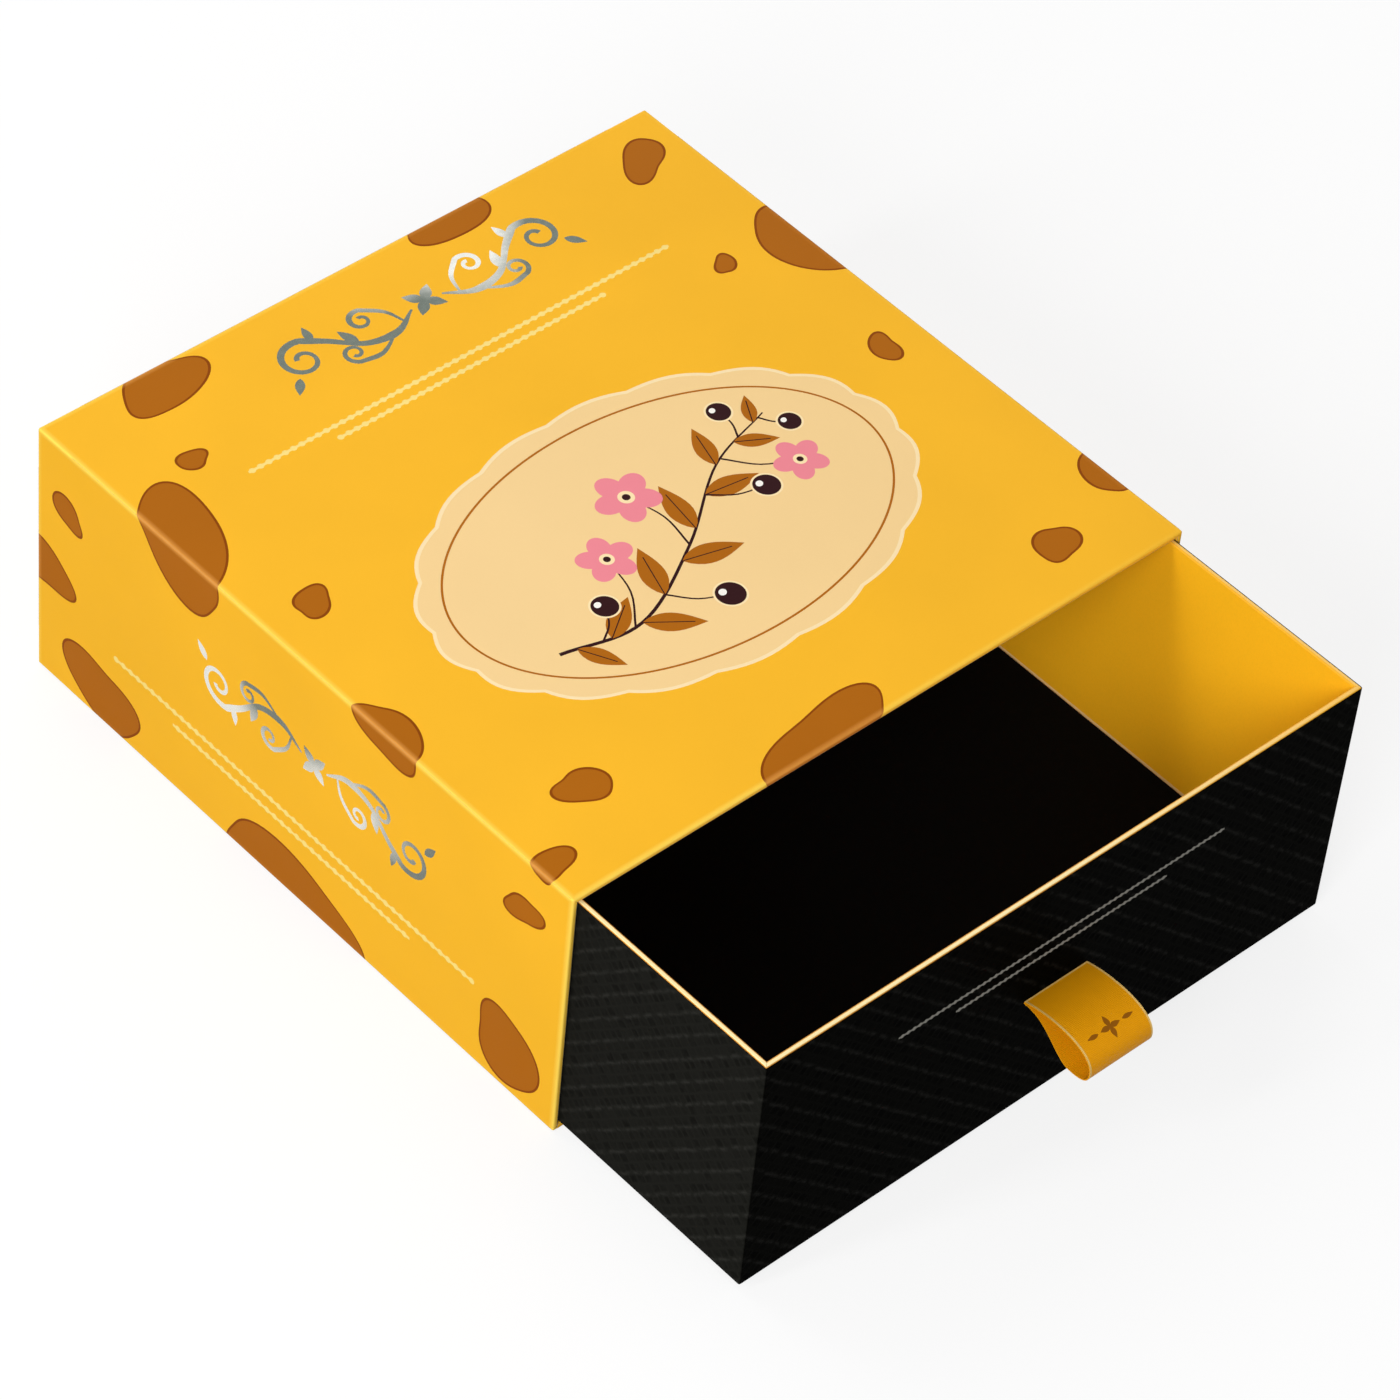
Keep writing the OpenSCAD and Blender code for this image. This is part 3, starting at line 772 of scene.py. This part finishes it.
def flourish(centre, angle, size=1.0):
    """A scroll with two arms that curl up at their ends, round a small four-petalled flower."""
    # each stroke's points, the spiral that it ends in and its widths, for the arm and its two shoots
    strokes = [
        ([(5, -0.8), (13, -5.0), (22, -3.6), (29.5, 3.0), (35.5, 7.6)],
         ((38.6, 1.2), 7.0, 1.5, 116, -450), [0.6, 2.5, 1.6, 2.3, 1.7, 1.2, 1.5]),
        ([(14, -5.2), (21, -8.8), (27.5, -8.0)],
         ((26.6, -4.6), 3.5, 1.0, 285, 400), [0.6, 1.6, 1.3, 1.0, 1.2]),
        ([(9, -3.6), (11, 2.6), (16, 7.2)],
         ((17.8, 3.8), 3.8, 1.0, 118, -400), [0.6, 1.4, 1.6, 1.0, 1.2]),
    ]
    leaves = ((23.4, -2.4), 74, 7.0), ((32.4, 5.2), 100, 5.8), ((43.6, -3.6), -50, 6.2)
    loops = []
    for flip in (-1, 1):
        for line, curl, widths in strokes:
            loops.append((stroke(np.vstack([smooth(line)[:-1], spiral(*curl)]), widths), flip))
        for base, way, length in leaves:
            loops.append((leaf(base, way, length, length * 0.42), flip))
    for petal in range(4):
        loops.append((leaf((0, 0), 45 + 90 * petal, 6.0, 3.2), 1))
    return [(inks["foil"], turned(np.asarray(loop) * size, angle, centre, flip)) for loop, flip in loops]


def berry(centre, size):
    """A dark berry in a cream outline, with a glint."""
    glint = np.asarray(centre) + (-0.16 * size, 0.2 * size)
    return [
        (inks["cream_edge"], ellipse(centre, size + 1.1, size + 1.1)),
        (inks["dark"], ellipse(centre, size, size)),
        (inks["white"], ellipse(glint, size * 0.3, size * 0.26, 30, 20)),
    ]


def blossom(centre, size, angle):
    """Five round pink petals about a dark heart."""
    prints = []
    for petal in range(5):
        way = angle + 72 * petal
        middle = np.asarray(centre) + unit(way) * size * 0.28
        prints.append((inks["pink"], ellipse(middle, size * 0.5, size * 0.4, way, 28)))
    prints.append((inks["cream_edge"], ellipse(centre, size * 0.26, size * 0.26, steps=20)))
    prints.append((inks["dark"], ellipse(centre, size * 0.13, size * 0.13, steps=16)))
    return prints


def sprig(line, sizes, berries, blossoms):
    """A leafy branch: leaves to both sides of its line, with berries and blossoms on stalks.

    berries and blossoms say how far along the branch they grow, on which side, how far out and
    how large they are.
    """
    stem = smooth(line)
    prints = [(inks["dark"], stroke(stem, [1.1, 0.9, 0.7, 0.4]))]
    heading = np.degrees(np.arctan2(*np.gradient(stem, axis=0).T[::-1]))

    def on_stem(share):
        at = int(share * (len(stem) - 1))
        return stem[at], heading[at]

    for i, length in enumerate(sizes):
        base, way = on_stem((i + 0.7) / len(sizes))
        aim = way + (46 if i % 2 else -46)
        prints.append((inks["spot"], leaf(base, aim, length, length * 0.4)))
        prints.append((inks["dark"], rule(base, base + length * 0.8 * unit(aim), 0.3)))
    for grown, kind in ((berries, berry), (blossoms, None)):
        for share, side, reach, size in grown:
            base, way = on_stem(share)
            aim = way + side * 62
            end = base + reach * unit(aim)
            middle = (base + end) / 2 + reach * 0.1 * unit(aim - 90)
            prints.append((inks["dark"], stroke(smooth([base, middle, end], 5), [0.6, 0.4])))
            prints += kind(end, size) if kind else blossom(end, size, way)
    return prints


def medallion(centre):
    """A scalloped cream panel with a fine inner line and a sprig."""
    lobes = 18

    def scallop(a):
        return 1 + 0.028 * abs(np.cos(a * lobes / 2))

    def oval(length, width, shape=np.ones_like):
        return ring(shape, 180) * (length / 2, width / 2) + centre

    prints = [
        (inks["cream_edge"], oval(141, 93, scallop)),
        (inks["cream"], oval(139, 91, scallop)),
        (inks["spot"], oval(130, 82)),
        (inks["cream"], oval(128.8, 80.8)),
    ]
    prints += sprig(
        np.add([(-50, -16), (-27, -20), (0, -7), (24, 10), (46, 17)], centre),
        sizes=[13, 15, 16, 17, 17, 17, 16, 14, 12, 10],
        berries=[(0.14, 1, 12, 7.0), (0.36, -1, 16, 7.8), (0.66, -1, 16, 7.2), (0.98, -1, 8, 6.0),
                 (0.88, 1, 10, 6.4)],
        blossoms=[(0.24, 1, 24, 15), (0.5, 1, 22, 17), (0.78, -1, 20, 14)],
    )
    return prints


def bead_rules(centre, angle, lengths, pitch, bead, material):
    """Parallel rules, each a thin line threaded with beads."""
    step = 1.45 * bead
    loops = []
    for i, length in enumerate(lengths):
        along = -pitch * i
        loops.append(rule((-length / 2, along), (length / 2, along), bead * 0.45))
        count = round(length / step)
        for place in (np.arange(count) - (count - 1) / 2) * step:
            loops.append(ellipse((place, along), bead, bead, steps=10))
    return [(material, turned(loop, angle, centre)) for loop in loops]


# ---- the sleeve's papers

HALF_W = SLEEVE_HI[0]
SIDE_H = SLEEVE_HI[2] - SLEEVE_LO[2]
MOUTH, SLEEVE_BACK = SLEEVE_LO[1], SLEEVE_HI[1]
LOW_FOLD = HALF_W + SIDE_H  # where the printed sheet folds under the base


def mitre(folded, fold, side, places):
    """An edge cut at 45 degrees beside a fold, so that two flaps meet on the corner."""
    return [(fold + side * (folded.depth_at(v) + CUT_GAP), v) for v in places]


def both_halves(right):
    """A whole outline from its right half, as the left one is its mirror image."""
    return right + [(-across, along) for across, along in right[::-1]]


def sleeve_fold():
    across = Run(
        -LOW_FOLD - SLEEVE_FLAP, (-HALF_W + SLEEVE_FLAP, SLEEVE_LO[2]), (-1, 0),
        [SLEEVE_FLAP, SIDE_H, 2 * HALF_W, SIDE_H, SLEEVE_FLAP], [-1] * 4, wear_and_highlight=[0.3, 1, 1, 0.3], side=1,
    )
    along = Run(
        MOUTH - SLEEVE_WALL_T - MOUTH_TURN_IN, (-SLEEVE_WALL_T, MOUTH + MOUTH_TURN_IN), (0, -1),
        [MOUTH_TURN_IN, SLEEVE_WALL_T, SLEEVE_BACK - MOUTH, SLEEVE_FLAP], [1] * 3, wear_and_highlight=[0.8, 1, 0.8],
    )
    return Folded(across, along, FRONT_VIEW)


def sleeve_outline(folded):
    """The printed sheet as cut."""
    over_mouth, over_back = MOUTH - FOLD_R, SLEEVE_BACK + FOLD_R
    turn_in_end = MOUTH - SLEEVE_WALL_T - MOUTH_TURN_IN
    inner = [MOUTH - SLEEVE_WALL_T + FOLD_R * step for step in np.linspace(-1, 1, FOLD_STEPS + 1)]
    in_to_out = [turn_in_end, *inner, over_mouth]
    clear_of_base_sheet = LOW_FOLD + SLEEVE_WALL_T + 0.1
    under_side, under_start = LOW_FOLD + SLEEVE_FLAP, MOUTH + 0.8  # the flap under the base
    flap_end = SLEEVE_BACK + SLEEVE_FLAP
    return both_halves([
        *mitre(folded, HALF_W, -1, in_to_out),
        *mitre(folded, HALF_W, 1, in_to_out[::-1]),
        *mitre(folded, LOW_FOLD, -1, in_to_out),
        (clear_of_base_sheet, over_mouth),
        (clear_of_base_sheet, under_start),
        (under_side - 3, under_start),
        (under_side, MOUTH + 4),
        (under_side, SLEEVE_BACK - 3),
        (under_side - 2, over_back),
        (LOW_FOLD - FOLD_R - CUT_GAP, over_back),
        (LOW_FOLD - 3, flap_end),
        *mitre(folded, HALF_W, 1, [flap_end, over_back]),
        *mitre(folded, HALF_W, -1, [over_back, flap_end]),
    ])


def on_side(side, spots):
    """Spots given by their height under the top edge, on the left (-1) or right (1) side."""
    return [(side * (HALF_W + down), along, *rest[:-1], rest[-1] + side) for down, along, *rest in spots]


def sleeve_prints():
    prints = printed_spots(TOP_SPOTS + on_side(-1, SIDE_SPOTS) + on_side(1, SIDE_SPOTS))
    prints += medallion((0, -22))
    prints += flourish((6, 78), 0)
    prints += bead_rules((0, 56), 0, [138, 88], 4, 1.8, inks["rule"])
    for side in (-1, 1):
        prints += flourish((side * (HALF_W + 31), -8), -90 * side, 0.94)
        prints += bead_rules((side * (HALF_W + 55.6), 0), 90 * side, [138, 91], 4.8, 2.0, inks["rule"])
    return prints


def make_printed_sheet(name, node, folded, outline, prints=()):
    sheet = make_sheet(name, folded, outline, PRINTED_T, "sleeve", inks["yellow"], paper_back, prints)
    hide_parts(node)


def make_sleeve_wrap():
    folded = sleeve_fold()
    make_printed_sheet("printed_wrap", "sleeve_wrap", folded, sleeve_outline(folded), sleeve_prints())


def make_base_sheet():
    """The sheet under the base, which is turned in over the mouth's lower edge."""
    lip, half = BASE_HI[0], BASE_HI[0] - BASE_INSET
    lip_h = BASE_HI[2] - BASE_LO[2]
    end = MOUTH - lip_h - MOUTH_TURN_IN
    neck = MOUTH + 1  # where the turn-in's width has gone down to the sheet's own
    across = Run(-lip, (-lip, BASE_LO[2]), (1, 0), [2 * lip])
    along = Run(end, (-lip_h, MOUTH + MOUTH_TURN_IN), (0, -1),
                [MOUTH_TURN_IN, lip_h, SLEEVE_BACK - MOUTH], [1, 1])
    folded = Folded(across, along, FRONT_VIEW)
    outline = both_halves([(lip, end), (lip, MOUTH), (half, neck), (half, SLEEVE_BACK)])
    make_printed_sheet("printed_base_sheet", "sleeve_base_sheet", folded, outline)


def make_back_sheet():
    """The sheet on the back, with a fold at its foot that goes under the base."""
    half, foot, top = BACK_HI[0], BACK_LO[2], BACK_HI[2]
    end = foot - BACK_SHEET_FOLD
    fold_half = HALF_W - SLEEVE_FLAP - 1  # it stays clear of the wrap's flaps
    across = Run(-half, (-half, BACK_HI[1]), (1, 0), [2 * half], side=1)
    along = Run(end, (-BACK_SHEET_FOLD, foot), (1, 0), [BACK_SHEET_FOLD, top - foot], [1])
    folded = Folded(across, along, PLAN_VIEW)
    outline = both_halves([(fold_half - 3, end), (fold_half, foot - 2), (half, foot + FOLD_R), (half, top)])
    spots = printed_spots(BACK_SPOTS)
    make_printed_sheet("printed_back_sheet", "sleeve_back_sheet", folded, outline, spots)


# ---- the drawer's papers

DRAWER_HALF_W = DRAWER_HI[0]
DRAWER_D = DRAWER_HI[1] - DRAWER_LO[1]
SLIT_Z = (DRAWER_LO[2] - BLACK_T + LINING_HI[2]) / 2
SLIT_HALF_W = RIBBON_HI[0] + 0.15
SLIT_HALF_H = 0.52


def drawer_pattern(flat):
    """The emboss runs up towards the front on both sides, so it is mirrored at the left corner."""
    around, up = flat.T
    on_left = around < -DRAWER_HALF_W
    mirrored = np.where(on_left, -2 * DRAWER_HALF_W - around, around)
    return np.column_stack([mirrored, up])


def make_drawer_wrap():
    first = -DRAWER_HALF_W - DRAWER_D - DRAWER_SEAM
    across = Run(
        first, (-DRAWER_HALF_W + DRAWER_SEAM, DRAWER_HI[1]), (-1, 0),
        [DRAWER_SEAM, DRAWER_D, 2 * DRAWER_HALF_W, DRAWER_D, 2 * DRAWER_HALF_W - DRAWER_SEAM], [1] * 4,
    )
    foot, top = DRAWER_LO[2], DRAWER_HI[2]
    along = Run(foot - DRAWER_FLAP, (-DRAWER_FLAP, foot), (1, 0), [DRAWER_FLAP, top - foot], [1])
    folded = Folded(across, along, PLAN_VIEW)
    flap_end, bend = foot - DRAWER_FLAP, foot - FOLD_R
    outline = [(first + CUT_GAP, flap_end)]
    for at, *_ in across.folds:
        outline += mitre(folded, at, -1, [flap_end, bend]) + mitre(folded, at, 1, [bend, flap_end])
    outline += [(across.last - CUT_GAP, flap_end), (across.last - CUT_GAP, top), (first + CUT_GAP, top)]
    slit = rectangle(-SLIT_HALF_W, SLIT_Z - SLIT_HALF_H, SLIT_HALF_W, SLIT_Z + SLIT_HALF_H)
    prints = bead_rules((0, 59), 0, [108, 70], 4, 1.3, grey_ink)
    wrap = make_sheet("black_wrap", folded, outline, BLACK_T, "drawer", black_paper, paper_back,
                      prints, holes=[slit], pattern=drawer_pattern)
    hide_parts("drawer_wrap")


def make_drawer_lining():
    """Four wall strips, each folded over the rim and onto the floor, with mitred ends."""
    middle_y = (DRAWER_LO[1] + DRAWER_HI[1]) / 2
    rim, floor = LINING_HI[2], LINING_LO[2] + LINING_T
    outer = BLACK_T
    rim_w = DRAWER_WALL_T - outer
    wall_h = rim - floor
    along = Run(
        -LINING_TURN_DOWN, (-outer, rim - LINING_TURN_DOWN), (0, 1),
        [LINING_TURN_DOWN, rim_w, wall_h, LINING_FLOOR_FOLD], [1, 1, -1], [RIM_R, RIM_R, FLOOR_FOLD_R],
    )
    places = [-LINING_TURN_DOWN, *along.creases(), along.last]
    card_top = corners_of("drawer_floor_card")[1][2]
    bands = [  # of each fold's painted shade or painted highlight: its paper, and where it starts and ends along the strip
        (rim_shade, -RIM_R, rim_w + RIM_R),
        (rim_highlight_paper, 0.05, rim_w - 0.45),
        (foot_highlight_paper, rim_w + rim - card_top - FOOT_LINE, rim_w + wall_h),
    ]
    walls = {
        "front": ((0, DRAWER_LO[1]), (1, 0), DRAWER_HALF_W),
        "right": ((DRAWER_HALF_W, middle_y), (0, 1), DRAWER_D / 2),
        "back": ((0, DRAWER_HI[1]), (-1, 0), DRAWER_HALF_W),
        "left": ((-DRAWER_HALF_W, middle_y), (0, -1), DRAWER_D / 2),
    }
    for side, (middle, heading, half) in walls.items():
        start = np.array(middle) - half * np.array(heading)
        across = Run(-half, start, heading, [2 * half])
        folded = Folded(across, along, PLAN_VIEW)
        outline = mitre(folded, half, -1, places) + mitre(folded, -half, 1, places[::-1])
        prints = [(paper, rectangle(-half, low, half, high)) for paper, low, high in bands]
        strip = make_sheet(f"lining_{side}", folded, outline, LINING_T, "drawer", lining_paper, paper_back,
                           prints)
        if side == "front":
            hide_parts("drawer_lining")


def flat_sheet(name, node, material, facing_up):
    """A sheet that lies flat in its CAD node's place, with its corners cut off."""
    low, high = corners_of(node)
    level = high[2] if facing_up else low[2]
    across = Run(low[0], (low[0], level), (1, 0), [high[0] - low[0]], side=1 if facing_up else -1)
    along = Run(low[1], (0, low[1]), (0, 1), [high[1] - low[1]])
    corner = 1.2
    outline = both_halves([(high[0] - corner, low[1]), (high[0], low[1] + corner),
                           (high[0], high[1] - corner), (high[0] - corner, high[1])])
    piece = make_sheet(name, Folded(across, along, FRONT_VIEW), outline, high[2] - low[2], "drawer",
                       material, material)
    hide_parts(node)


# ---- the ribbon pull


def bezier(controls, steps):
    """Points on a cubic curve, without its first."""
    p = np.asarray(controls, float)
    t = np.linspace(0, 1, steps + 1)[1:, None]
    return (1 - t) ** 3 * p[0] + 3 * (1 - t) ** 2 * t * p[1] + 3 * (1 - t) * t**2 * p[2] + t**3 * p[3]


def arc(centre, radius, start, end, steps):
    return np.asarray(centre) + radius * unit(np.linspace(start, end, steps + 1))


class Line:
    """A run along any smooth line, measured by its length. It has the same calls as a Run."""

    def __init__(self, points, side):
        self.points = np.asarray(points, float)
        steps = np.linalg.norm(np.diff(self.points, axis=0), axis=1)
        self.marks = np.concatenate([[0], np.cumsum(steps)])
        self.normals = side * left_of(of_length_1(np.gradient(self.points, self.marks, axis=0)))
        self.last = self.marks[-1]

    def place(self, where):
        points, normals = (
            np.column_stack([np.interp(where, self.marks, column) for column in values.T])
            for values in (self.points, self.normals)
        )
        return points, of_length_1(normals)

    def creases(self):
        return list(self.marks)

    def worn_and_highlit(self, where):
        return np.zeros(len(where))


LOOP_REACH, LOOP_RISE, LOOP_DROP = 23, 1.7, 9
MOTIF_DOWN = 19.5  # from the slit along the loop to the middle of its printed flower
TAIL_LENGTH = 16
LAYER_Z = (RIBBON_T + 0.04) / 2
BEND_STEPS = 5  # in the bend into each tail


def ribbon_line():
    """The ribbon's middle line, as (how far out, how far up) from the slit."""
    tail_depth = RIBBON_HI[1] - DRAWER_LO[1] - RIBBON_T / 2
    bend = RIBBON_T * 1.15
    reach, rise, drop = LOOP_REACH, LOOP_RISE, LOOP_DROP
    return np.vstack([
        [(-tail_depth, LAYER_Z + TAIL_LENGTH)],
        arc((bend - tail_depth, LAYER_Z + bend), bend, 180, 270, BEND_STEPS),
        [(0, LAYER_Z)],
        bezier([(0, LAYER_Z), (reach * 0.35, LAYER_Z + rise * 1.6),
                (reach * 1.01, LAYER_Z + rise * 1.5), (reach, -drop * 0.6)], 26),
        bezier([(reach, -drop * 0.6), (reach * 0.995, -drop * 0.94),
                (reach * 0.89, -drop * 1.03), (reach * 0.72, -drop)], 12),
        bezier([(reach * 0.72, -drop), (reach * 0.5, -drop * 0.96),
                (reach * 0.35, drop * 0.07), (0, -LAYER_Z)], 20),
        arc((bend - tail_depth, -LAYER_Z - bend), bend, 90, 180, BEND_STEPS),
        [(-tail_depth, -LAYER_Z - TAIL_LENGTH)],
    ])


def make_ribbon():
    """One length of ribbon, seen edge on along its own line."""
    half, selvedge, pale = RIBBON_HI[0], 0.55, 0.5
    line = ribbon_line()
    beside = Line(line, side=1)
    along = Line(line + beside.normals * RIBBON_T / 2 + (0, SLIT_Z), side=1)
    across = Run(-half, (-half, DRAWER_LO[1]), (1, 0), [2 * half])
    out, back = along.marks[BEND_STEPS + 2], along.marks[-BEND_STEPS - 3]  # at the slit
    bands = [rectangle(side * half, 0, side * (half - selvedge), along.last) for side in (-1, 1)]
    bands += [rectangle(-half, out, half, out + pale), rectangle(-half, back - pale, half, back)]
    prints = [(ribbon_edge, band) for band in bands]
    motif_at = TAIL_LENGTH + MOTIF_DOWN
    prints += [(brown_ink, leaf((0, motif_at), 90 * petal, 3.2, 1.5)) for petal in range(4)]
    prints += [(brown_ink, leaf((side * 4.0, motif_at), 90 - 90 * side, 3.6, 1.2)) for side in (-1, 1)]
    outline = rectangle(-half, 0, half, along.last)
    ribbon = make_sheet("ribbon_loop", Folded(across, along, PLAN_VIEW), outline, RIBBON_T, "drawer",
                        ribbon_weave, ribbon_weave, prints)
    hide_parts("ribbon_pull")


# ---- boards and tapes


def finish_cad_nodes():
    """The boards, tapes and linings keep their CAD shapes."""
    for name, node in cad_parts.items():
        if name.endswith("_board"):
            give_material(node, greyboard)
        elif name.endswith(("_tapes", "_stays", "_tape")):
            give_material(node, kraft_tape)
        elif name in ("sleeve_lining", "sleeve_back_lining"):
            give_material(node, lining_paper)


def give_material(piece, material):
    piece.data.materials.clear()
    piece.data.materials.append(material)


# ---- floor, light and camera

WHITE_SHARE = 0.78  # how much of the floor's shade the camera doesn't see
FLOOR_WHITE = srgb(254, 254, 254)
FLOOR_GREY = srgb(120, 120, 120)  # what the floor throws back on the box
AMBIENT = 0.3  # the world's own light


def make_floor():
    half = 4.0  # metres
    mesh = bpy.data.meshes.new("floor")
    mesh.from_pydata([(x, y, 0) for x, y in rectangle(-half, -half, half, half)], [], [(0, 1, 2, 3)])
    floor = put_in_scene("floor", mesh)
    tree = Tree("pale_floor")
    seen = tree.seen()
    tree.shade(Base_Color=tree.mix(seen, FLOOR_GREY, FLOOR_WHITE), Roughness=0.9, Specular_IOR_Level=0.0)
    shaded = tree.nodes["Principled BSDF"].outputs["BSDF"]
    white = tree.add("ShaderNodeEmission", {"Color": WHITE, "Strength": 1.0}).outputs["Emission"]
    tree.surface(tree.maths("MULTIPLY", seen, WHITE_SHARE), shaded, white)
    give_material(floor, tree.owner)


def add_softbox(name, place, size, watts):
    """A large soft lamp that points at the box."""
    lamp = bpy.data.lights.new(name, "AREA")
    lamp.shape = "RECTANGLE"
    lamp.size, lamp.size_y = size
    lamp.energy = watts
    softbox = put_in_scene(name, lamp)
    softbox.location = place
    aim = Vector((0, -0.03, 0.04)) - Vector(place)
    softbox.rotation_euler = aim.to_track_quat("-Z", "Y").to_euler()


def light_the_set():
    """The lamps, and a world that lights the box dimly and looks white."""
    add_softbox("key", (-1.8, 0.22, 1.2), (0.3, 1.0), 12)
    add_softbox("left_fill", (-1.6, -0.9, 1.05), (0.8, 0.8), 28)
    add_softbox("overhead", (-0.1, 0.75, 1.0), (0.8, 0.8), 4)
    add_softbox("front_fill", (0.5, -2.0, 1.0), (1.2, 1.0), 4)
    add_softbox("rear_fill", (1.6, 1.5, 0.42), (1.4, 0.6), 20)
    tree = Tree("studio", "worlds")
    dim, white = (tree.add("ShaderNodeBackground", {"Color": WHITE, "Strength": strength})
                  for strength in (AMBIENT, 1.0))
    tree.surface(tree.seen(), dim.outputs["Background"], white.outputs["Background"], "World Output")
    bpy.context.scene.world = tree.owner


def add_camera():
    """The photograph's view, fitted to the box's corners."""
    picture_w, focal = 1400, 6200.6  # pixels
    camera = bpy.data.cameras.new("camera")
    camera.sensor_width = 36
    camera.lens = focal * camera.sensor_width / picture_w
    holder = put_in_scene("camera", camera)
    holder.location = (-0.78232, -0.78233, 1.13231)
    holder.rotation_euler = Euler([math.radians(a) for a in (44.376, -4.299, -42.044)], "XYZ")
    bpy.context.scene.camera = holder


# ---- the whole scene

add_camera()
light_the_set()
make_floor()
make_sleeve_wrap()
make_base_sheet()
make_back_sheet()
make_drawer_wrap()
make_drawer_lining()
flat_sheet("floor_card", "drawer_floor_card", black_card, facing_up=True)
flat_sheet("black_bottom_sheet", "drawer_bottom_sheet", black_paper, facing_up=False)
make_ribbon()
finish_cad_nodes()
bpy.context.scene.view_settings.view_transform = "Standard"
